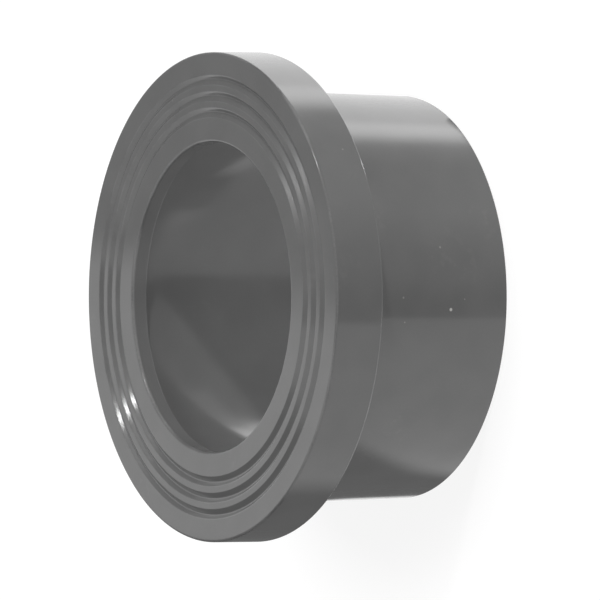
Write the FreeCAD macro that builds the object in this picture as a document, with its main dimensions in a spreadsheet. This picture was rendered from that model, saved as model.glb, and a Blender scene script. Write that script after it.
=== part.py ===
import FreeCAD, Part
import os

import Sketcher

# A stub end for a 63 mm pipe, in millimetres. It stands on the mouth of its socket, with its axis along Z
# and its grooved jointing face on top. The origin is the middle of the mouth.
SIZES = {
    # The socket that the pipe is cemented into
    "pipe_diameter": 63.0,
    "socket_clearance": 0.2,
    "socket_depth": 38.0,
    "mouth_lead_depth": 1.6,
    "mouth_lead_width": 0.8,
    # The lip that stops the pipe, and the waterway through it
    "stop_thickness": 3.0,
    "stop_width": 3.1,
    "stop_edge_bevel": 0.25,
    "bore_edge_bevel": 0.3,
    # The hub round the socket, whose wall is thicker at the collar than at the mouth
    "mouth_wall": 5.6,
    "root_wall": 6.4,
    "root_fillet_radius": 1.0,
    "mouth_edge_bevel": 0.4,
    # The collar that the loose flange pulls on
    "collar_width": 7.0,
    "collar_thickness": 9.8,
    "back_edge_bevel": 0.3,
    "face_edge_bevel": 0.4,
    # The grooves in the jointing face, counted outwards from the bore
    "groove_count": 3,
    "inner_land": 4.45,
    "groove_width": 1.9,
    "groove_spacing": 1.1,
    "groove_floor_width": 0.3,
    "groove_depth": 0.65,
    "groove_lip_bevel": 0.2,
}

# Radii and heights that follow from the sizes, as expressions on the sheet
SOCKET_RADIUS = "(sizes.pipe_diameter + sizes.socket_clearance) / 2"
WATERWAY_RADIUS = f"{SOCKET_RADIUS} - sizes.stop_width"
MOUTH_RADIUS = f"{SOCKET_RADIUS} + sizes.mouth_wall"
ROOT_RADIUS = f"{SOCKET_RADIUS} + sizes.root_wall"
COLLAR_RADIUS = f"{ROOT_RADIUS} + sizes.collar_width"
FACE_HEIGHT = "sizes.socket_depth + sizes.stop_thickness"
BACK_HEIGHT = f"{FACE_HEIGHT} - sizes.collar_thickness"
GROOVE_FLOOR_HEIGHT = f"{FACE_HEIGHT} - sizes.groove_depth"

MATCH = 1e-4  # how near an edge's radius and height are to the ones that are looked for
ORIGIN = (-1, 1)  # a sketch's origin point
ACROSS, UP = -1, -2  # a sketch's two axes
FIRST_END, SECOND_END, CENTRE = 1, 2, 3  # the points of a line or a circle in a sketch
FULL_TURN = 360  # degrees


def groove_sides(number, width):
    """The inner and outer radius of one groove, where it is as wide as the named size says."""
    middle = (
        f"{WATERWAY_RADIUS} + sizes.inner_land + sizes.groove_width / 2"
        f" + {number} * (sizes.groove_width + sizes.groove_spacing)"
    )
    return f"{middle} - sizes.{width} / 2", f"{middle} + sizes.{width} / 2"


def make_sheet(doc):
    """The sheet of sizes, with each value in a cell that has its name."""
    sheet = doc.addObject("Spreadsheet::Sheet", "sizes")
    for row, (name, value) in enumerate(SIZES.items(), start=1):
        sheet.set(f"A{row}", name)
        sheet.set(f"B{row}", str(value))
        sheet.setAlias(f"B{row}", name)
    doc.recompute()
    return sheet


def new_sketch(body, name, plane):
    """A sketch on one of the body's own origin planes."""
    sketch = body.newObject("Sketcher::SketchObject", name)
    base = next(item for item in body.Origin.OriginFeatures if item.Role == plane)
    sketch.AttachmentSupport = [(base, "")]
    sketch.MapMode = "FlatFace"
    return sketch


def bind(sketch, kind, places, expression):
    """A dimension in a sketch that takes its value from an expression on the sheet."""
    value = float(sketch.evalExpression(expression))
    index = sketch.addConstraint(Sketcher.Constraint(kind, *places, value))
    sketch.setExpression(f"Constraints[{index}]", expression)


def draw_outline(sketch, corners):
    """A closed outline of straight lines. A corner is its distance from each axis, or None where it lies on it."""
    points = [
        FreeCAD.Vector(*(0 if side is None else float(sketch.evalExpression(side)) for side in corner))
        for corner in corners
    ]
    lines = [
        sketch.addGeometry(Part.LineSegment(start, end))
        for start, end in zip(points, points[1:] + points[:1])
    ]
    for line, following in zip(lines, lines[1:] + lines[:1]):
        sketch.addConstraint(Sketcher.Constraint("Coincident", line, SECOND_END, following, FIRST_END))
    for line, (across, up) in zip(lines, corners):
        if across is None:
            sketch.addConstraint(Sketcher.Constraint("PointOnObject", line, FIRST_END, UP))
        else:
            bind(sketch, "DistanceX", (*ORIGIN, line, FIRST_END), across)
        if up is None:
            sketch.addConstraint(Sketcher.Constraint("PointOnObject", line, FIRST_END, ACROSS))
        else:
            bind(sketch, "DistanceY", (*ORIGIN, line, FIRST_END), up)


def turned(body, kind, name, outlines):
    """Outlines on the XZ plane, turned once round Z to add or to cut."""
    sketch = new_sketch(body, f"{name}_section", "XZ_Plane")
    for corners in outlines:
        draw_outline(sketch, corners)
    feature = body.newObject(kind, name)
    feature.Profile = sketch
    feature.ReferenceAxis = (sketch, ["V_Axis"])
    feature.Angle = FULL_TURN
    return feature


def bored(body, name, radius, depth=None):
    """A round hole up from the mouth, to a depth or right through."""
    sketch = new_sketch(body, f"{name}_circle", "XY_Plane")
    value = float(sketch.evalExpression(radius))
    circle = sketch.addGeometry(Part.Circle(FreeCAD.Vector(), FreeCAD.Vector(0, 0, 1), value))
    sketch.addConstraint(Sketcher.Constraint("Coincident", circle, CENTRE, *ORIGIN))
    bind(sketch, "Radius", (circle,), radius)
    pocket = body.newObject("PartDesign::Pocket", name)
    pocket.Profile = sketch
    pocket.Reversed = True
    if depth is None:
        pocket.Type = "ThroughAll"
    else:
        pocket.setExpression("Length", depth)
    return pocket


def edge_names(feature, circles):
    """The names of a feature's round edges that have these radii and heights."""
    sheet = feature.Document.sizes
    names = []
    for radius, height in circles:
        wanted = float(sheet.evalExpression(radius)), float(sheet.evalExpression(height))
        for number, edge in enumerate(feature.Shape.Edges, start=1):
            curve = edge.Curve
            if not isinstance(curve, Part.Circle):
                continue
            if max(abs(curve.Radius - wanted[0]), abs(curve.Center.z - wanted[1])) < MATCH:
                names.append(f"Edge{number}")
                break
        else:
            raise ValueError(f"{feature.Name} has no edge of radius {radius} at height {height}")
    return names


def rounded(body, name, radius, circles):
    """A fillet of a named radius along round edges."""
    body.Document.recompute()
    base = body.Tip
    fillet = body.newObject("PartDesign::Fillet", name)
    fillet.Base = (base, edge_names(base, circles))
    fillet.setExpression("Radius", f"sizes.{radius}")


def bevelled(body, name, across, circles, along=None):
    """A bevel along round edges, with one named size, or a second one for its other side."""
    body.Document.recompute()
    base = body.Tip
    chamfer = body.newObject("PartDesign::Chamfer", name)
    chamfer.Base = (base, edge_names(base, circles))
    chamfer.setExpression("Size", f"sizes.{across}")
    if along is not None:
        chamfer.ChamferType = "Two distances"
        chamfer.setExpression("Size2", f"sizes.{along}")


def make_stub_end(doc):
    """The moulding: a collar on a tapering hub, bored for the pipe and the waterway, with a grooved face."""
    body = doc.addObject("PartDesign::Body", "stub_end")
    blank = [
        (None, None),
        (MOUTH_RADIUS, None),
        (ROOT_RADIUS, BACK_HEIGHT),
        (COLLAR_RADIUS, BACK_HEIGHT),
        (COLLAR_RADIUS, FACE_HEIGHT),
        (None, FACE_HEIGHT),
    ]
    turned(body, "PartDesign::Revolution", "hub_and_collar", [blank])
    bored(body, "pipe_socket", SOCKET_RADIUS, "sizes.socket_depth")
    bored(body, "waterway", WATERWAY_RADIUS)

    outlines, lips = [], []
    for number in range(int(doc.sizes.groove_count)):
        lip = groove_sides(number, "groove_width")
        floor = groove_sides(number, "groove_floor_width")
        outlines.append(
            [
                (lip[0], FACE_HEIGHT),
                (floor[0], GROOVE_FLOOR_HEIGHT),
                (floor[1], GROOVE_FLOOR_HEIGHT),
                (lip[1], FACE_HEIGHT),
            ]
        )
        lips += [(radius, FACE_HEIGHT) for radius in lip]
    turned(body, "PartDesign::Groove", "face_grooves", outlines)

    rounded(body, "root_fillet", "root_fillet_radius", [(ROOT_RADIUS, BACK_HEIGHT)])
    bevelled(body, "mouth_lead", "mouth_lead_width", [(SOCKET_RADIUS, "0")], along="mouth_lead_depth")
    bevelled(body, "mouth_edge", "mouth_edge_bevel", [(MOUTH_RADIUS, "0")])
    bevelled(body, "stop_edge", "stop_edge_bevel", [(WATERWAY_RADIUS, "sizes.socket_depth")])
    bevelled(body, "bore_edge", "bore_edge_bevel", [(WATERWAY_RADIUS, FACE_HEIGHT)])
    bevelled(body, "back_edge", "back_edge_bevel", [(COLLAR_RADIUS, BACK_HEIGHT)])
    bevelled(body, "face_edge", "face_edge_bevel", [(COLLAR_RADIUS, FACE_HEIGHT)])
    bevelled(body, "groove_lips", "groove_lip_bevel", lips)
    return body


def check(doc, pieces):
    """Stop if a feature failed or a piece isn't a sound solid."""
    for item in doc.Objects:
        if {"Invalid", "Error"} & set(item.State):
            raise RuntimeError(f"{item.Name} failed: {item.State}")
    for piece in pieces:
        if piece.Shape.isNull() or not piece.Shape.isValid():
            raise RuntimeError(f"{piece.Label} isn't a sound solid")


def main():
    """Build the part and write its solid."""
    os.makedirs("parts", exist_ok=True)
    doc = FreeCAD.newDocument("stub_end")
    make_sheet(doc)
    pieces = [make_stub_end(doc)]
    doc.recompute()
    check(doc, pieces)
    for piece in pieces:
        piece.Shape.exportStep(f"parts/{piece.Label}.step")


main()
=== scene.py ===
"""The looks of a moulded stub end in grey rigid plastic, in a plain studio.

The part stands on the mouth of its socket with the grooved jointing face on top. Everything is in metres, in
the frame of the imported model, apart from the sizes of the section and of the view, which are in millimetres.
"""

import logging
import math
from collections.abc import Iterable
from dataclasses import dataclass
from enum import Enum

import bpy
import numpy as np
from mathutils import Matrix, Vector


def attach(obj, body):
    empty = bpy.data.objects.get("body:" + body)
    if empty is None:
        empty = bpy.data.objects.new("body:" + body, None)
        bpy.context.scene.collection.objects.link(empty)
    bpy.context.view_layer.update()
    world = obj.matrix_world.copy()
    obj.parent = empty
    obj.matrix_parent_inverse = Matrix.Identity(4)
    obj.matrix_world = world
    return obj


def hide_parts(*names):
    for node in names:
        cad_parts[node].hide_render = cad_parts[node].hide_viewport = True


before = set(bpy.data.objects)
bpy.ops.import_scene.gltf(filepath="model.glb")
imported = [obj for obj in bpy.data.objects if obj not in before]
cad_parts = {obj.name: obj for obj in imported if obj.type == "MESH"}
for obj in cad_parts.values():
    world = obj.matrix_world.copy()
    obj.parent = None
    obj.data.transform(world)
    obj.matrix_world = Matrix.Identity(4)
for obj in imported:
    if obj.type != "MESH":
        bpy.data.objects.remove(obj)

LOG = logging.getLogger("stub_end")
MM = 0.001
WHITE = (1.0, 1.0, 1.0, 1.0)
PLAIN = (3, 3)  # the rows and columns of an even card

# A few known values, as rows of a place and the value there
Known = tuple[tuple[float, float], ...]


class SeenBy(Enum):
    """Which rays meet a piece of the studio."""

    EYE_ONLY = "eye only"
    SURFACES_ONLY = "surfaces only"
    REFLECTIONS_ONLY = "reflections only"


def limit_rays(thing: bpy.types.Object, seen_by: SeenBy) -> None:
    """Let only the named rays meet a piece of the studio.

    Args:
        thing: the floor or a card.
        seen_by: the rays that meet it.
    """
    thing.visible_camera = seen_by is SeenBy.EYE_ONLY
    thing.visible_glossy = seen_by is SeenBy.REFLECTIONS_ONLY
    thing.visible_diffuse = False
    thing.visible_transmission = False
    thing.visible_volume_scatter = False
    thing.visible_shadow = False


# Surfaces


def climb(value: np.ndarray, start: float, end: float) -> np.ndarray:
    """0 up to the start, 1 from the end on, and a straight line between them, in either direction."""
    return np.clip((value - start) / (end - start), 0.0, 1.0)


def between(known: Known, places: np.ndarray) -> np.ndarray:
    """The values at some places, on straight lines between the known ones."""
    rows = np.array(known)
    return np.interp(places, rows[:, 0], rows[:, 1])


@dataclass(frozen=True)
class Outline:
    """The closed section of a turned piece: points, outward normals, and how sharp the edge is at each."""

    points: np.ndarray
    normals: np.ndarray
    edges: np.ndarray


def rounded_outline(corners: np.ndarray, radii: np.ndarray, steps: int) -> Outline:
    """A closed outline of straight lines whose corners are arcs.

    With u the direction into a corner, t the angle that the outline turns there and r the corner's radius,
    the arc starts r tan(t / 2) before the corner. Its normal turns evenly by t from the first line's normal.
    Its points are its centre plus r times the normal, or minus it where the outline turns the other way.

    Args:
        corners: the corners as rows of distance from the axis and height, with the material on the left.
        radii: each corner's radius.
        steps: the number of points in each arc.

    Returns:
        The outline, with an edge value of up to 1 in the middle of outer corners and 0 elsewhere.
    """
    into = corners - np.roll(corners, 1, axis=0)
    into /= np.linalg.norm(into, axis=1, keepdims=True)
    out = np.roll(into, -1, axis=0)
    turn = np.arctan2(into[:, 0] * out[:, 1] - into[:, 1] * out[:, 0], (into * out).sum(axis=1))
    side = np.sign(turn)
    normal = np.stack([into[:, 1], -into[:, 0]], axis=1)
    start = corners - into * (radii * np.tan(np.abs(turn) / 2))[:, None]
    centre = start - normal * (side * radii)[:, None]
    share = np.linspace(0.0, 1.0, steps)
    angle = turn[:, None] * share[None, :]
    cosine, sine = np.cos(angle), np.sin(angle)
    normals = np.stack(
        [
            cosine * normal[:, None, 0] - sine * normal[:, None, 1],
            sine * normal[:, None, 0] + cosine * normal[:, None, 1],
        ],
        axis=-1,
    )
    points = centre[:, None, :] + normals * (side * radii)[:, None, None]
    edges = np.clip(turn, 0, 1)[:, None] * np.sin(np.pi * share)[None, :]
    return Outline(points.reshape(-1, 2), normals.reshape(-1, 2), edges.reshape(-1))


def turned_mesh(name: str, outline: Outline, steps: int) -> bpy.types.Mesh:
    """A closed outline carried once round the Z axis.

    A point at distance r and height z, at the angle a, is at (r cos a, r sin a, z). Its normal turns too.

    Args:
        name: the mesh's name.
        outline: the closed section.
        steps: the number of places round the axis.

    Returns:
        The mesh, smooth, with its own normals and with the outline's edge values as the attribute "edge".
    """
    angle = np.linspace(0.0, 2 * np.pi, steps, endpoint=False)
    spin = np.stack([np.cos(angle), np.sin(angle)], axis=1)

    def carried(rows: np.ndarray) -> np.ndarray:
        """Rows of distance and height, at each place round the axis.

        Args:
            rows: the distances and heights.

        Returns:
            The three coordinates of every row at the first place, then at the second, and so on.
        """
        flat = spin[:, None, :] * rows[None, :, :1]
        height = np.broadcast_to(rows[None, :, 1:], (steps, len(rows), 1))
        return np.concatenate([flat, height], axis=2).reshape(-1, 3)

    count = len(outline.points)
    here = np.arange(steps)[:, None]
    there = (here + 1) % steps
    along = np.arange(count)[None, :]
    after = (along + 1) % count
    quads = np.stack(
        [here * count + along, there * count + along, there * count + after, here * count + after], axis=-1
    ).reshape(-1, 4)
    mesh = bpy.data.meshes.new(name)
    mesh.from_pydata(carried(outline.points).tolist(), [], quads.tolist())
    mesh.polygons.foreach_set("use_smooth", np.ones(len(quads), dtype=bool))
    edges = np.tile(outline.edges, steps).astype(np.float32)
    mesh.attributes.new("edge", "FLOAT", "POINT").data.foreach_set("value", edges)
    mesh.normals_split_custom_set_from_vertices(carried(outline.normals).tolist())
    mesh.update()
    return mesh


def flat_points(corner: Vector, across: Vector, up: Vector, shape: tuple[int, int]) -> np.ndarray:
    """The points of a flat grid.

    The point in column i and row j is at the corner plus i shares of the first side and j of the second.

    Args:
        corner: the grid's first corner.
        across: the side along the grid's columns.
        up: the side along its rows.
        shape: the number of rows and of columns.

    Returns:
        The points, in rows and columns.
    """
    rows, columns = shape
    share_across = np.linspace(0.0, 1.0, columns)[None, :, None]
    share_up = np.linspace(0.0, 1.0, rows)[:, None, None]
    return np.array(corner) + share_across * np.array(across) + share_up * np.array(up)


def grid_mesh(name: str, points: np.ndarray, glow: np.ndarray) -> bpy.types.Mesh:
    """A grid of points with a brightness at each of them.

    A face joins the points in column i and i + 1 of row j with those of row j + 1.

    Args:
        name: the mesh's name.
        points: the points, in rows and columns.
        glow: the brightness, in the same rows and columns.

    Returns:
        The mesh, with the attribute "glow".
    """
    rows, columns = glow.shape
    first = (np.arange(rows - 1)[:, None] * columns + np.arange(columns - 1)[None, :]).reshape(-1)
    quads = np.stack([first, first + 1, first + columns + 1, first + columns], axis=-1)
    mesh = bpy.data.meshes.new(name)
    mesh.from_pydata(points.reshape(-1, 3).tolist(), [], quads.tolist())
    values = glow.reshape(-1).astype(np.float32)
    mesh.attributes.new("glow", "FLOAT", "POINT").data.foreach_set("value", values)
    return mesh


def place(name: str, mesh: bpy.types.Mesh) -> bpy.types.Object:
    """Put a mesh into the scene, with its object at the origin.

    Args:
        name: the object's name.
        mesh: its mesh.

    Returns:
        The object.
    """
    thing = bpy.data.objects.new(name, mesh)
    bpy.context.scene.collection.objects.link(thing)
    return thing


# Finishes


class Nodes:
    """A short way to put nodes into a material's, a group's or the world's tree."""

    def __init__(self, tree: bpy.types.NodeTree) -> None:
        """Start from a tree."""
        self.tree = tree

    def add(self, kind: str, values: dict | None = None, **settings: object) -> bpy.types.Node:
        """A new node.

        Args:
            kind: the node's type.
            values: its sockets' values, or the sockets that feed them, by name or number.
            settings: its own properties.

        Returns:
            The node.
        """
        node = self.tree.nodes.new(kind)
        for key, value in settings.items():
            setattr(node, key, value)
        for key, value in (values or {}).items():
            if isinstance(value, bpy.types.NodeSocket):
                self.tree.links.new(value, node.inputs[key])
            else:
                node.inputs[key].default_value = value
        return node

    def maths(self, operation: str, *values: object) -> bpy.types.NodeSocket:
        """The result of a Math node on numbers or sockets."""
        return self.add("ShaderNodeMath", dict(enumerate(values)), operation=operation).outputs[0]

    def vectors(self, operation: str, values: dict, output: int | str = 0) -> bpy.types.NodeSocket:
        """One result of a Vector Math node."""
        return self.add("ShaderNodeVectorMath", values, operation=operation).outputs[output]

    def mixed(
        self, share: bpy.types.NodeSocket, first: bpy.types.NodeSocket, second: tuple[float, float, float]
    ) -> bpy.types.NodeSocket:
        """A colour that goes from the first to the second with the share."""
        values = {0: share, 6: first, 7: (*second, 1)}
        return self.add("ShaderNodeMix", values, data_type="RGBA").outputs[2]

    def ramp(self, value: bpy.types.NodeSocket, low: float, high: float) -> bpy.types.NodeSocket:
        """0 below the low value, 1 above the high one, and smooth between them.

        Args:
            value: the value.
            low: where the ramp starts.
            high: where it ends.

        Returns:
            The ramp's height.
        """
        node = self.add(
            "ShaderNodeMapRange",
            {"Value": value, "From Min": low, "From Max": high},
            interpolation_type="SMOOTHSTEP",
        )
        return node.outputs["Result"]

    def background_rays(self) -> bpy.types.NodeSocket:
        """1 for the rays that see a white background: the camera's, and those in gloss and glass.

        Returns:
            The mask.
        """
        path = self.add("ShaderNodeLightPath")
        eye_or_gloss = self.maths("MAXIMUM", path.outputs["Is Camera Ray"], path.outputs["Is Glossy Ray"])
        return self.maths("MAXIMUM", eye_or_gloss, path.outputs["Is Transmission Ray"])


def empty_material(name: str) -> tuple[bpy.types.Material, Nodes]:
    """A new material with no nodes.

    Args:
        name: the material's name.

    Returns:
        The material, and a way to put nodes into it.
    """
    material = bpy.data.materials.new(name)
    material.use_nodes = True
    material.node_tree.nodes.clear()
    return material, Nodes(material.node_tree)


class GroupKind(Enum):
    """The shared effects of the finishes."""

    MOULD_SKIN = "mould_skin"
    RING_MARKS = "ring_marks"
    DUST = "dust"
    SCUFFS = "scuffs"


# Each effect's inputs with their types, and its outputs
SOCKETS = {
    GroupKind.MOULD_SKIN: (
        {"Coordinates": "Vector", "Grain": "Float", "Ripple": "Float"},
        ("Height", "Tone"),
    ),
    GroupKind.RING_MARKS: ({"Coordinates": "Vector", "Spacing": "Float"}, ("Height",)),
    GroupKind.DUST: ({"Coordinates": "Vector", "Scale": "Float", "Size": "Float"}, ("Mask",)),
    GroupKind.SCUFFS: ({"Coordinates": "Vector", "Scale": "Float", "Cover": "Float"}, ("Mask",)),
}


class EffectLibrary:
    """The shared effects as node groups, each built once, and how fine and strong their patterns are."""

    grain_detail: float = 3.0
    grain_in_tone: float = 0.3
    grain_in_height: float = 0.04
    ripple_detail: float = 1.0
    ripple_in_tone: float = 0.7
    ring_detail: float = 2.0
    clean_cells: float = 0.9
    patch_detail: float = 1.0
    patch_ramp: tuple[float, float] = (0.6, 0.7)
    streaks_in_patch: float = 9.0
    streak_detail: float = 4.0
    streak_ramp: tuple[float, float] = (0.5, 0.7)

    def __init__(self) -> None:
        """Start with no group built."""
        self.built: dict[GroupKind, bpy.types.NodeTree] = {}

    def get(self, kind: GroupKind) -> bpy.types.NodeTree:
        """The group of a kind, which is built when it is first asked for.

        Args:
            kind: the effect.

        Returns:
            The effect's node group.
        """
        if kind not in self.built:
            inputs, outputs = SOCKETS[kind]
            tree = bpy.data.node_groups.new(kind.value, "ShaderNodeTree")
            for name, form in inputs.items():
                tree.interface.new_socket(name=name, in_out="INPUT", socket_type=f"NodeSocket{form}")
            for name in outputs:
                tree.interface.new_socket(name=name, in_out="OUTPUT", socket_type="NodeSocketFloat")
            nodes = Nodes(tree)
            start = nodes.add("NodeGroupInput")
            results = getattr(self, kind.value)(nodes, start)
            nodes.add("NodeGroupOutput", results)
            self.built[kind] = tree
        return self.built[kind]

    def mould_skin(self, nodes: Nodes, start: bpy.types.Node) -> dict:
        """The skin of a moulded surface: fine grain on slow ripples, and a slow change of tone.

        Args:
            nodes: the group's nodes.
            start: the group's input node.

        Returns:
            The sockets for the group's outputs.
        """
        coordinates = start.outputs["Coordinates"]
        grain = nodes.add(
            "ShaderNodeTexNoise",
            {"Vector": coordinates, "Scale": start.outputs["Grain"], "Detail": self.grain_detail},
        )
        ripple = nodes.add(
            "ShaderNodeTexNoise",
            {"Vector": coordinates, "Scale": start.outputs["Ripple"], "Detail": self.ripple_detail},
        )
        slow_share = nodes.maths("MULTIPLY", ripple.outputs[0], self.ripple_in_tone)
        tone = nodes.maths("MULTIPLY_ADD", grain.outputs[0], self.grain_in_tone, slow_share)
        fine_share = nodes.maths("MULTIPLY", grain.outputs[0], self.grain_in_height)
        return {"Height": nodes.maths("ADD", ripple.outputs[0], fine_share), "Tone": tone}

    def ring_marks(self, nodes: Nodes, start: bpy.types.Node) -> dict:
        """Fine rings round the axis, uneven from one to the next, as a turned mould leaves them.

        Args:
            nodes: the group's nodes.
            start: the group's input node.

        Returns:
            The sockets for the group's outputs.
        """
        parts = nodes.add("ShaderNodeSeparateXYZ", {0: start.outputs["Coordinates"]})
        squares = [nodes.maths("MULTIPLY", parts.outputs[i], parts.outputs[i]) for i in range(2)]
        radius = nodes.maths("SQRT", nodes.maths("ADD", *squares))
        count = nodes.maths("DIVIDE", radius, start.outputs["Spacing"])
        rings = nodes.add(
            "ShaderNodeTexNoise",
            {"W": count, "Scale": 1.0, "Detail": self.ring_detail},
            noise_dimensions="1D",
        )
        return {"Height": rings.outputs[0]}

    def dust(self, nodes: Nodes, start: bpy.types.Node) -> dict:
        """Scattered specks: near the middle of some cells of a cell pattern.

        Args:
            nodes: the group's nodes.
            start: the group's input node.

        Returns:
            The sockets for the group's outputs.
        """
        coordinates, scale = start.outputs["Coordinates"], start.outputs["Scale"]
        cells = nodes.add("ShaderNodeTexVoronoi", {"Vector": coordinates, "Scale": scale})
        chance = nodes.add("ShaderNodeSeparateColor", {0: cells.outputs["Color"]})
        near = nodes.maths("LESS_THAN", cells.outputs["Distance"], start.outputs["Size"])
        some = nodes.maths("GREATER_THAN", chance.outputs[0], self.clean_cells)
        return {"Mask": nodes.maths("MULTIPLY", near, some)}

    def scuffs(self, nodes: Nodes, start: bpy.types.Node) -> dict:
        """Soft rubbed patches: the crests of a rough pattern inside those of a slow one.

        Args:
            nodes: the group's nodes.
            start: the group's input node.

        Returns:
            The sockets for the group's outputs.
        """
        coordinates, scale = start.outputs["Coordinates"], start.outputs["Scale"]
        slow = nodes.add(
            "ShaderNodeTexNoise", {"Vector": coordinates, "Scale": scale, "Detail": self.patch_detail}
        )
        fine_scale = nodes.maths("MULTIPLY", scale, self.streaks_in_patch)
        rough = nodes.add(
            "ShaderNodeTexNoise", {"Vector": coordinates, "Scale": fine_scale, "Detail": self.streak_detail}
        )
        patch = nodes.ramp(slow.outputs[0], *self.patch_ramp)
        streak = nodes.ramp(rough.outputs[0], *self.streak_ramp)
        cover = start.outputs["Cover"]
        return {"Mask": nodes.maths("MULTIPLY", nodes.maths("MULTIPLY", patch, streak), cover)}


@dataclass(frozen=True)
class Mark:
    """One small light mark at a place on the part, soft from a share of its size outwards."""

    centre: tuple[float, float, float]
    size: float
    strength: float
    core: float = 0.4


@dataclass(frozen=True)
class MouldedPlastic:
    """Grey rigid plastic as it leaves the mould, with fine rings where the mould was turned."""

    name: str
    marks: tuple[Mark, ...] = ()
    colour: tuple[float, float, float] = (0.119, 0.119, 0.119)
    worn_colour: tuple[float, float, float] = (0.19, 0.19, 0.19)
    dust_colour: tuple[float, float, float] = (0.5, 0.49, 0.47)
    refraction: float = 1.5
    roughness: float = 0.11
    roughness_change: float = 0.05
    scuff_roughness: float = 0.15
    speck_roughness: float = 0.4
    # The skin, whose slow pattern also changes the tone of the colour
    grain_scale: float = 2600.0
    ripple_scale: float = 130.0
    skin_height: float = 0.00002
    tone_ramp: tuple[float, float] = (0.3, 0.7)
    tone_low: float = 0.96
    tone_change: float = 0.08
    ring_spacing: float = 0.00018
    ring_height: float = 0.000001
    # Dust, scuffs and worn edges
    dust_scale: float = 220.0
    dust_size: float = 0.045
    dust_strength: float = 0.25
    scuff_scale: float = 70.0
    scuff_cover: float = 0.35
    scuff_strength: float = 0.35
    wear_ramp: tuple[float, float] = (0.4, 0.62)
    wear_strength: float = 0.5
    # Painted light: the socket's inside is a little paler than the outside, standing in for light that reaches
    # into the bore, within this radius and below this height
    socket_painted_light: float = 1.05
    socket_radius: float = 0.0317
    socket_height: float = 0.0406

    def material(self, effects: EffectLibrary) -> bpy.types.Material:
        """The finish as a material.

        Args:
            effects: the shared effects.

        Returns:
            The material.
        """
        material, nodes = empty_material(self.name)
        coordinates = nodes.add("ShaderNodeTexCoord").outputs["Object"]

        def effect(kind: GroupKind, **values: float) -> bpy.types.Node:
            """A shared effect on this part's coordinates.

            Args:
                kind: the effect.
                values: its other inputs.

            Returns:
                The group's node.
            """
            node = nodes.add("ShaderNodeGroup", node_tree=effects.get(kind))
            nodes.tree.links.new(coordinates, node.inputs["Coordinates"])
            for key, value in values.items():
                node.inputs[key].default_value = value
            return node

        skin = effect(GroupKind.MOULD_SKIN, Grain=self.grain_scale, Ripple=self.ripple_scale)
        rings = effect(GroupKind.RING_MARKS, Spacing=self.ring_spacing)
        dust = effect(GroupKind.DUST, Scale=self.dust_scale, Size=self.dust_size)
        scuffs = effect(GroupKind.SCUFFS, Scale=self.scuff_scale, Cover=self.scuff_cover)
        edge = nodes.add("ShaderNodeAttribute", attribute_name="edge").outputs["Fac"]
        wear = nodes.maths("MULTIPLY", edge, nodes.ramp(skin.outputs["Tone"], *self.wear_ramp))

        tone = nodes.ramp(skin.outputs["Tone"], *self.tone_ramp)
        flat = nodes.vectors("MULTIPLY", {0: coordinates, 1: (1, 1, 0)})
        radius = nodes.vectors("LENGTH", {0: flat}, "Value")
        up = nodes.add("ShaderNodeSeparateXYZ", {0: coordinates}).outputs[2]
        # Painted light: the colour inside the socket is lifted to stand in for light that reaches into the
        # bore
        inside = nodes.maths(
            "MULTIPLY",
            nodes.maths("LESS_THAN", radius, self.socket_radius),
            nodes.maths("LESS_THAN", up, self.socket_height),
        )
        level = nodes.maths("MULTIPLY_ADD", inside, self.socket_painted_light - 1.0, self.tone_low)
        level = nodes.maths("MULTIPLY_ADD", tone, self.tone_change, level)
        colour = nodes.vectors("SCALE", {0: self.colour, 3: level})
        rubbed = nodes.maths("MULTIPLY", scuffs.outputs[0], self.scuff_strength)
        worn = nodes.maths("MAXIMUM", nodes.maths("MULTIPLY", wear, self.wear_strength), rubbed)
        colour = nodes.mixed(worn, colour, self.worn_colour)
        speck = nodes.maths("MULTIPLY", dust.outputs[0], self.dust_strength)
        for mark in self.marks:
            away = nodes.vectors("DISTANCE", {0: coordinates, 1: mark.centre}, "Value")
            near = nodes.maths("SUBTRACT", 1.0, nodes.ramp(away, mark.core * mark.size, mark.size))
            speck = nodes.maths("MAXIMUM", speck, nodes.maths("MULTIPLY", near, mark.strength))
        colour = nodes.mixed(speck, colour, self.dust_colour)

        rough = nodes.maths("MULTIPLY_ADD", tone, self.roughness_change, self.roughness)
        rough = nodes.maths("MULTIPLY_ADD", scuffs.outputs[0], self.scuff_roughness, rough)
        rough = nodes.maths("MULTIPLY_ADD", speck, self.speck_roughness, rough)
        height = nodes.maths("MULTIPLY", skin.outputs["Height"], self.skin_height)
        height = nodes.maths("MULTIPLY_ADD", rings.outputs[0], self.ring_height, height)
        bump = nodes.add("ShaderNodeBump", {"Height": height, "Strength": 1.0, "Distance": 1.0})
        shader = nodes.add(
            "ShaderNodeBsdfPrincipled",
            {"Base Color": colour, "Roughness": rough, "IOR": self.refraction, "Normal": bump.outputs[0]},
        )
        nodes.add("ShaderNodeOutputMaterial", {"Surface": shader.outputs[0]})
        return material


# The stub end


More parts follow.
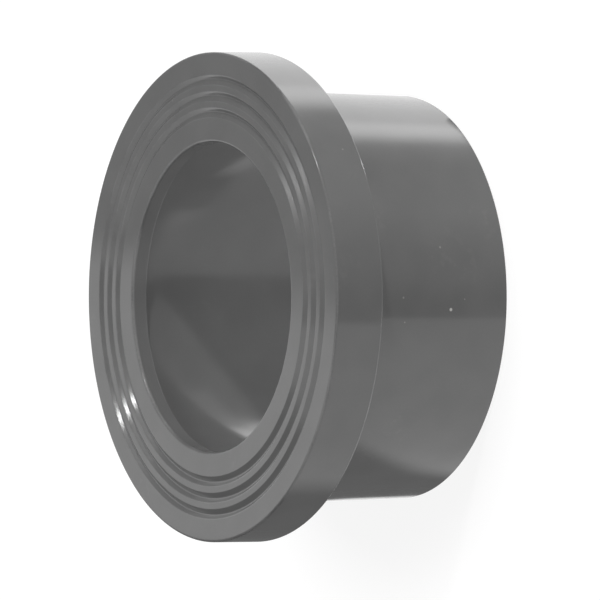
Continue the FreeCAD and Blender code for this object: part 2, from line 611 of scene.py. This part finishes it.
@dataclass
class StubEnd:
    """The moulding, in millimetres: a hub with a pipe socket, under a collar with a grooved face."""

    finish: MouldedPlastic
    socket_radius: float = 31.6
    socket_depth: float = 38.0
    lead_depth: float = 1.6
    lead_width: float = 0.8
    waterway_radius: float = 28.5
    face_height: float = 41.0
    mouth_radius: float = 37.2
    root_radius: float = 38.0
    collar_radius: float = 45.0
    back_height: float = 31.2
    # The grooves, each from its inner lip to its outer one, with the lowest point between them
    inner_land: float = 4.45
    groove_count: int = 3
    groove_pitch: float = 3.0
    groove_width: float = 1.82
    groove_bottom: float = 1.02
    groove_depth: float = 0.69
    inner_lip_rounding: float = 0.35
    groove_bottom_rounding: float = 0.35
    outer_lip_rounding: float = 0.45
    # The other corners
    mouth_inner_rounding: float = 0.15
    mouth_outer_rounding: float = 0.2
    root_rounding: float = 1.0
    collar_back_rounding: float = 0.35
    collar_face_rounding: float = 0.45
    bore_edge_rounding: float = 0.6
    stop_edge_rounding: float = 0.15
    socket_end_rounding: float = 0.2
    lead_rounding: float = 0.6
    # The places round the axis, and the points in each corner
    steps_round: int = 480
    steps_corner: int = 9

    def grooves(self) -> list[tuple[float, float, float]]:
        """The corners of the grooves.

        Returns:
            Each corner's distance from the axis, height and radius, from the outermost one in.
        """
        order = np.arange(self.groove_count)[::-1]
        first = self.waterway_radius + self.inner_land + self.groove_pitch * order
        shape = [
            (self.groove_width, 0.0, self.outer_lip_rounding),
            (self.groove_bottom, self.groove_depth, self.groove_bottom_rounding),
            (0.0, 0.0, self.inner_lip_rounding),
        ]
        return [
            (start + across, self.face_height - down, radius)
            for start in first
            for across, down, radius in shape
        ]

    def outline(self) -> Outline:
        """The section, from the mouth's inner edge outwards.

        Returns:
            The closed section, in metres.
        """
        corners = [
            (self.socket_radius + self.lead_width, 0.0, self.mouth_inner_rounding),
            (self.mouth_radius, 0.0, self.mouth_outer_rounding),
            (self.root_radius, self.back_height, self.root_rounding),
            (self.collar_radius, self.back_height, self.collar_back_rounding),
            (self.collar_radius, self.face_height, self.collar_face_rounding),
            *self.grooves(),
            (self.waterway_radius, self.face_height, self.bore_edge_rounding),
            (self.waterway_radius, self.socket_depth, self.stop_edge_rounding),
            (self.socket_radius, self.socket_depth, self.socket_end_rounding),
            (self.socket_radius, self.lead_depth, self.lead_rounding),
        ]
        rows = np.array(corners)
        outline = rounded_outline(rows[:, :2], rows[:, 2], self.steps_corner)
        return Outline(outline.points * MM, outline.normals, outline.edges)

    def build(self, effects: EffectLibrary) -> bpy.types.Object:
        """The piece, dressed, riding on the frame in place of its CAD node.

        Args:
            effects: the shared effects.

        Returns:
            The piece.
        """
        name = "stub_end_moulding"
        piece = place(name, turned_mesh(name, self.outline(), self.steps_round))
        piece.data.materials.append(self.finish.material(effects))
        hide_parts("stub_end")
        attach(piece, "root")
        return piece


# The cards and the tent, which show only in the part's gloss


def glowing(name: str) -> bpy.types.Material:
    """A card's material, which shines as its "glow" attribute says.

    Args:
        name: the material's name.

    Returns:
        The material.
    """
    material, nodes = empty_material(name)
    glow = nodes.add("ShaderNodeAttribute", attribute_name="glow").outputs["Fac"]
    light = nodes.add("ShaderNodeEmission", {"Color": WHITE, "Strength": glow})
    nodes.add("ShaderNodeOutputMaterial", {"Surface": light.outputs[0]})
    return material


def set_card(name: str, points: np.ndarray, glow: np.ndarray) -> None:
    """Put a shining card into the studio, for the part's gloss alone.

    Args:
        name: the card's name.
        points: its points, in rows and columns.
        glow: its brightness, in the same rows and columns.
    """
    card = place(name, grid_mesh(name, points, glow))
    card.data.materials.append(glowing(f"{name}_light"))
    limit_rays(card, SeenBy.REFLECTIONS_ONLY)


@dataclass(frozen=True)
class Tent:
    """A round tent with flat ends, round the part and the lamps.

    The point of its wall at the angle a and the height h is at (reach sin a, -reach cos a, h), so that
    angles run from the front (-Y) towards +X. Heights and the band in which the lower wall turns into the
    upper one are shares of the reach.
    """

    reach: float = 2.0
    top: float = 1.6
    band: float = 0.1
    end_glow: float = 0.08
    rows: int = 33
    columns: int = 721
    # Brightness of the wall below the floor's level, by the angle in degrees
    lower: Known = (
        (-180, 0.14), (-140, 0.15), (-125, 0.2), (-105, 1.05), (-90, 1.15), (-60, 1.02), (-40, 0.92),
        (-20, 0.82), (-16.8, 0.8), (-14.8, 0.14), (0, 0.14), (8, 0.34), (12, 0.45), (20, 0.57), (24, 0.6),
        (32, 0.82), (40, 0.98), (50, 1.22), (60, 1.1), (80, 0.93), (92, 1.1), (97, 1.3), (101, 2.5),
        (106, 3.8), (112, 3.9), (120, 2.52), (130, 2.1), (140, 1.84), (150, 1.55), (160, 1.32), (172, 1.0),
        (180, 0.9),
    )
    # The same above the floor's level, which shows in the edges of the collar
    upper: Known = (
        (-180, 0.28), (-165, 0.28), (-150, 0.05), (-118, 0.05), (-108, 0.8), (-60, 1.1), (60, 1.1),
        (108, 1.1), (118, 0.05), (150, 0.05), (165, 0.28), (180, 0.28),
    )

    def build(self) -> None:
        """The wall, the lid and the base."""
        degrees = np.linspace(-180.0, 180.0, self.columns)
        heights = np.linspace(-self.top, self.top, self.rows)
        share = climb(heights, -self.band, self.band)[:, None]
        lower, upper = between(self.lower, degrees)[None, :], between(self.upper, degrees)[None, :]
        glow = lower * (1 - share) + upper * share
        points = np.empty((self.rows, self.columns, 3))
        points[..., 0] = self.reach * np.sin(np.radians(degrees))[None, :]
        points[..., 1] = -self.reach * np.cos(np.radians(degrees))[None, :]
        points[..., 2] = self.reach * heights[:, None]
        set_card("tent", points, glow)
        across, up = Vector((2 * self.reach, 0, 0)), Vector((0, 2 * self.reach, 0))
        for name, height in (("tent_lid", self.top), ("tent_base", -self.top)):
            corner = Vector((-self.reach, -self.reach, self.reach * height))
            set_card(name, flat_points(corner, across, up, PLAIN), np.full(PLAIN, self.end_glow))


@dataclass(frozen=True)
class SideCard:
    """A white card past the jointing face, whose top edge shows as a soft slanting step on the face.

    The card lies square to the way that the face turns the eye's ray back. Its brightness falls from white
    to grey across an edge, whose height falls steadily along the card. Past the far run, where only the
    grooves show the card, the edge is level, and the card is brighter below it and dark above it.
    """

    toward: tuple[float, float, float] = (0, 0.858, 0.514)
    along: tuple[float, float, float] = (0, -0.514, 0.858)
    from_height: float = 0.041
    distance: float = 0.09
    half_length: float = 0.12
    low: float = -0.05
    high: float = 0.03
    rows: int = 161
    columns: int = 97
    edge_height: float = 0.003
    edge_fall: float = 0.28
    half_edge: float = 0.004
    white: float = 1.05
    grey: float = 0.3
    far_run: tuple[float, float] = (-0.035, -0.043)
    far_white: float = 1.4
    far_dark: float = 0.1

    def build(self) -> None:
        """The card."""
        along, rising = Vector(self.along), Vector((1, 0, 0))
        run = np.linspace(-self.half_length, self.half_length, self.columns)[None, :]
        rise = np.linspace(self.low, self.high, self.rows)[:, None]
        under = climb(self.edge_height - self.edge_fall * run - rise, -self.half_edge, self.half_edge)
        glow = self.grey + (self.white - self.grey) * under
        far = climb(run, *self.far_run)
        far_under = climb(rise, self.half_edge, -self.half_edge)
        glow = glow * (1 - far) + (self.far_dark + (self.far_white - self.far_dark) * far_under) * far
        middle = Vector(self.toward) * self.distance + Vector((0, 0, self.from_height))
        corner = middle - along * self.half_length + rising * self.low
        across, up = along * (2 * self.half_length), rising * (self.high - self.low)
        set_card("side_card", flat_points(corner, across, up, glow.shape), glow)


@dataclass(frozen=True)
class TableCard:
    """An upright white sheet beside the part, with the part's own shade on it.

    The sheet lies at one x. Its shade begins at a y that changes with the height z, and fades towards the
    far sides of the sheet. It is cut off just below the part's foot, and a little lower where y is small.
    Above the face, where only the grooves show the sheet, a pale patch lies over the shade.
    """

    x: float = -0.046
    y_reach: tuple[float, float] = (-0.25, 0.3)
    z_reach: tuple[float, float] = (-0.3, 0.3)
    columns: int = 276
    rows: int = 301
    # Brightness of the sheet by y
    sheet: Known = ((-0.25, 0.22), (-0.24, 0.22), (-0.232, 0.88), (-0.12, 1.0), (-0.06, 1.15))
    shade: float = 0.16
    # The y where the shade begins, by z
    shade_edge: Known = (
        (-0.030, 0.0), (-0.0075, -0.0097), (-0.0024, -0.012), (0.0069, -0.0191), (0.0134, -0.0267),
        (0.060, -0.027),
    )
    half_edge: float = 0.003
    far_fade: tuple[float, float] = (0.25, 0.15)
    foot: tuple[float, float] = (-0.008, 0.0)
    low_foot: tuple[float, float] = (-0.03, -0.02)
    low_foot_y: tuple[float, float] = (0.03, 0.02)
    pale: float = 1.35
    # The y where the pale patch begins, by z
    pale_edge: Known = ((0.13, 0.0), (0.15, -0.01), (0.2, -0.04))
    pale_width: float = 0.01
    pale_start: tuple[float, float] = (0.062, 0.074)
    pale_end: tuple[float, float] = (0.18, 0.145)

    def build(self) -> None:
        """The sheet."""
        y = np.linspace(*self.y_reach, self.columns)[None, :]
        z = np.linspace(*self.z_reach, self.rows)[:, None]
        shaded = climb(y - between(self.shade_edge, z), -self.half_edge, self.half_edge)
        shaded = shaded * climb(y, *self.far_fade) * climb(z, *self.far_fade)
        low_part = climb(z, *self.low_foot) * climb(y, *self.low_foot_y)
        shaded = shaded * np.maximum(low_part, climb(z, *self.foot))
        glow = between(self.sheet, y) * (1 - shaded) + self.shade * shaded
        patch = climb(z, *self.pale_start) * climb(z, *self.pale_end)
        patch = patch * climb(y - between(self.pale_edge, z), 0.0, self.pale_width)
        glow = glow * (1 - patch) + self.pale * patch
        corner = Vector((self.x, self.y_reach[0], self.z_reach[0]))
        across = Vector((0, self.y_reach[1] - self.y_reach[0], 0))
        up = Vector((0, 0, self.z_reach[1] - self.z_reach[0]))
        set_card("table_card", flat_points(corner, across, up, glow.shape), glow)


@dataclass(frozen=True)
class MouthCard:
    """A round card under the socket's mouth, which shows only in the socket's wall.

    The point at the angle a and the distance r is at (r sin a, r cos a). A ray that the wall turns back to
    the eye crosses the card at a turn round the axis of about x over the socket's radius less 2 y, so the
    card's brightness is given by that turn. Towards +Y, its back, the card reaches less far and has a bright
    patch.
    """

    height: float = -0.015
    reach: float = 0.0535
    back_reach: float = 0.046
    back_cosine: float = -0.05
    socket_radius: float = 0.0316
    y_limit: float = 0.012
    rows: int = 57
    columns: int = 181
    # Brightness by the turn, in radians
    by_turn: Known = (
        (-2.0, 0.6), (-1.0, 0.6), (-0.14, 0.68), (-0.12, 0.04), (0.0, 0.04), (0.1, 0.2), (0.3, 0.38),
        (2.0, 0.38),
    )
    patch: float = 3.2
    patch_y: tuple[float, float] = (0.024, 0.028)
    patch_x: tuple[float, float] = (0.004, 0.010)

    def build(self) -> None:
        """The card."""
        angle = np.linspace(-math.pi, math.pi, self.columns)[None, :]
        rim = np.where(np.cos(angle) > self.back_cosine, self.back_reach, self.reach)
        distance = np.linspace(0.0, 1.0, self.rows)[:, None] * rim
        x, y = distance * np.sin(angle), distance * np.cos(angle)
        turn = x / (self.socket_radius - 2 * np.minimum(y, self.y_limit))
        patch = climb(y, *self.patch_y) * climb(x, *self.patch_x)
        glow = between(self.by_turn, turn) * (1 - patch) + self.patch * patch
        set_card("mouth_card", np.stack([x, y, np.full_like(x, self.height)], axis=-1), glow)


# The studio


@dataclass(frozen=True)
class Lamp:
    """A square soft lamp that looks at a point."""

    name: str
    direction: tuple[float, float, float]
    distance: float
    size: float
    power: float
    seen_by: SeenBy

    def build(self, aim: Vector) -> None:
        """Put the lamp into its place, turned to the aim point.

        Args:
            aim: the point that it looks at.
        """
        data = bpy.data.lights.new(self.name, "AREA")
        data.shape = "SQUARE"
        data.size = self.size
        data.energy = self.power
        lamp = bpy.data.objects.new(self.name, data)
        away = Vector(self.direction).normalized()
        turn = away.to_track_quat("Z", "Y").to_matrix().to_4x4()
        lamp.matrix_world = Matrix.Translation(aim + away * self.distance) @ turn
        lamp.visible_camera = False
        lamp.visible_glossy = self.seen_by is SeenBy.REFLECTIONS_ONLY
        lamp.visible_diffuse = self.seen_by is SeenBy.SURFACES_ONLY
        bpy.context.scene.collection.objects.link(lamp)


@dataclass(frozen=True)
class Floor:
    """A pale floor whose own light keeps it white round the part's soft shadow.

    It lies just under the part's foot, so that the two don't share a plane. A share of its colour takes the
    lamps' light and the shadow, and its own light does the rest for the rays that see the background.
    """

    reach: float = 4.0
    drop: float = 0.0001
    colour: float = 0.85
    lit_share: float = 0.22
    shine: float = 0.87

    def build(self) -> None:
        """The floor."""
        corner = Vector((-self.reach, -self.reach, -self.drop))
        across, up = Vector((2 * self.reach, 0, 0)), Vector((0, 2 * self.reach, 0))
        points = flat_points(corner, across, up, PLAIN)
        floor = place("floor", grid_mesh("floor", points, np.zeros(PLAIN)))
        material, nodes = empty_material("pale_floor")
        lit = nodes.add("ShaderNodeBsdfDiffuse", {"Color": (*[self.colour * self.lit_share] * 3, 1)})
        strength = nodes.maths("MULTIPLY", nodes.background_rays(), self.shine)
        own = nodes.add("ShaderNodeEmission", {"Color": WHITE, "Strength": strength})
        both = nodes.add("ShaderNodeAddShader", {0: lit.outputs[0], 1: own.outputs[0]})
        nodes.add("ShaderNodeOutputMaterial", {"Surface": both.outputs[0]})
        floor.data.materials.append(material)
        limit_rays(floor, SeenBy.EYE_ONLY)


@dataclass(frozen=True)
class Studio:
    """A pale floor under a soft sky, lamps, and the tent and the cards that the part's gloss shows."""

    sky: float = 0.31
    aim: tuple[float, float, float] = (0.0, 0.0, 0.03)
    surroundings: tuple[Floor | Tent | SideCard | TableCard | MouthCard, ...] = (
        Floor(), Tent(), SideCard(), TableCard(), MouthCard(),
    )
    lamps: tuple[Lamp, ...] = (
        Lamp("key", (0.28, -0.12, 0.952), 1.3, 0.7, 12.0, SeenBy.SURFACES_ONLY),
        Lamp("low_key", (0.832, -0.398, 0.385), 1.3, 0.08, 5.2, SeenBy.SURFACES_ONLY),
        Lamp("bounce", (-0.5, -0.28, -0.82), 1.3, 0.7, 13.0, SeenBy.SURFACES_ONLY),
        Lamp("mouth_fill", (0.18, -0.36, -0.915), 1.3, 0.7, 11.0, SeenBy.SURFACES_ONLY),
        Lamp("groove_glint", (0.575, -0.01, 0.819), 1.3, 0.09, 2.2, SeenBy.REFLECTIONS_ONLY),
        Lamp("front_glint", (0.49, 0.115, 0.864), 1.3, 0.36, 0.45, SeenBy.REFLECTIONS_ONLY),
        Lamp("back_glint", (0.506, 0.048, -0.861), 1.3, 0.08, 1.2, SeenBy.REFLECTIONS_ONLY),
    )

    def build(self) -> None:
        """Everything round the part."""
        self.make_world()
        for thing in self.surroundings:
            thing.build()
        for lamp in self.lamps:
            lamp.build(Vector(self.aim))

    def make_world(self) -> None:
        """A sky that is white as a background, and lights the part at a plain level."""
        world = bpy.data.worlds.new("sky")
        world.use_nodes = True
        world.node_tree.nodes.clear()
        nodes = Nodes(world.node_tree)
        strength = nodes.maths("MULTIPLY_ADD", nodes.background_rays(), 1.0 - self.sky, self.sky)
        light = nodes.add("ShaderNodeBackground", {"Color": WHITE, "Strength": strength})
        nodes.add("ShaderNodeOutputWorld", {"Surface": light.outputs[0]})
        bpy.context.scene.world = world


@dataclass(frozen=True)
class View:
    """The camera, from the place of the jointing face's middle before it and the tilt of the part's axis.

    Lengths are in millimetres, and the clip distance in metres. The three numbers of the face's middle say
    how far it is to the right of the camera's axis, below it and in front of the camera. The focal length is
    a share of the picture's width. The picture is square, its middle is on the camera's axis, and the part's
    +X side is up in it.
    """

    tilt: float = math.radians(30.9215)
    face_middle: tuple[float, float, float] = (-16.4519, -0.5346, 2341.1828)
    face_height: float = 41.0
    focal_share: float = 12757.743 / 600.0
    sensor: float = 36.0
    clip_distance: float = 100.0

    def build(self) -> None:
        """Put the camera into the scene."""
        cosine, sine = math.cos(self.tilt), math.sin(self.tilt)
        right, up, back = Vector((0, -sine, -cosine)), Vector((1, 0, 0)), Vector((0, -cosine, sine))
        across, down, deep = self.face_middle
        eye = Vector((0, 0, self.face_height)) - right * across + up * down + back * deep
        turn = Matrix((right, up, back)).transposed().to_4x4()
        data = bpy.data.cameras.new("view")
        data.sensor_width = self.sensor
        data.sensor_fit = "HORIZONTAL"
        data.lens = self.sensor * self.focal_share
        data.clip_end = self.clip_distance
        camera = bpy.data.objects.new("view", data)
        camera.matrix_world = Matrix.Translation(eye * MM) @ turn
        bpy.context.scene.collection.objects.link(camera)
        bpy.context.scene.camera = camera


def main() -> None:
    """Build the part, the studio and the camera."""
    logging.basicConfig(level=logging.INFO, format="%(name)s: %(message)s")
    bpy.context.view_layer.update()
    effects = EffectLibrary()
    speck = Mark(centre=(-0.0023, -0.0375, 0.0122), size=0.0004, strength=0.8)
    piece = StubEnd(MouldedPlastic("moulded_grey", marks=(speck,))).build(effects)
    LOG.info("%s: %d faces", piece.name, len(piece.data.polygons))
    Studio().build()
    LOG.info("studio: floor, tent, cards and lamps")
    View().build()
    bpy.context.scene.view_settings.view_transform = "Standard"


if __name__ == "__main__":
    main()
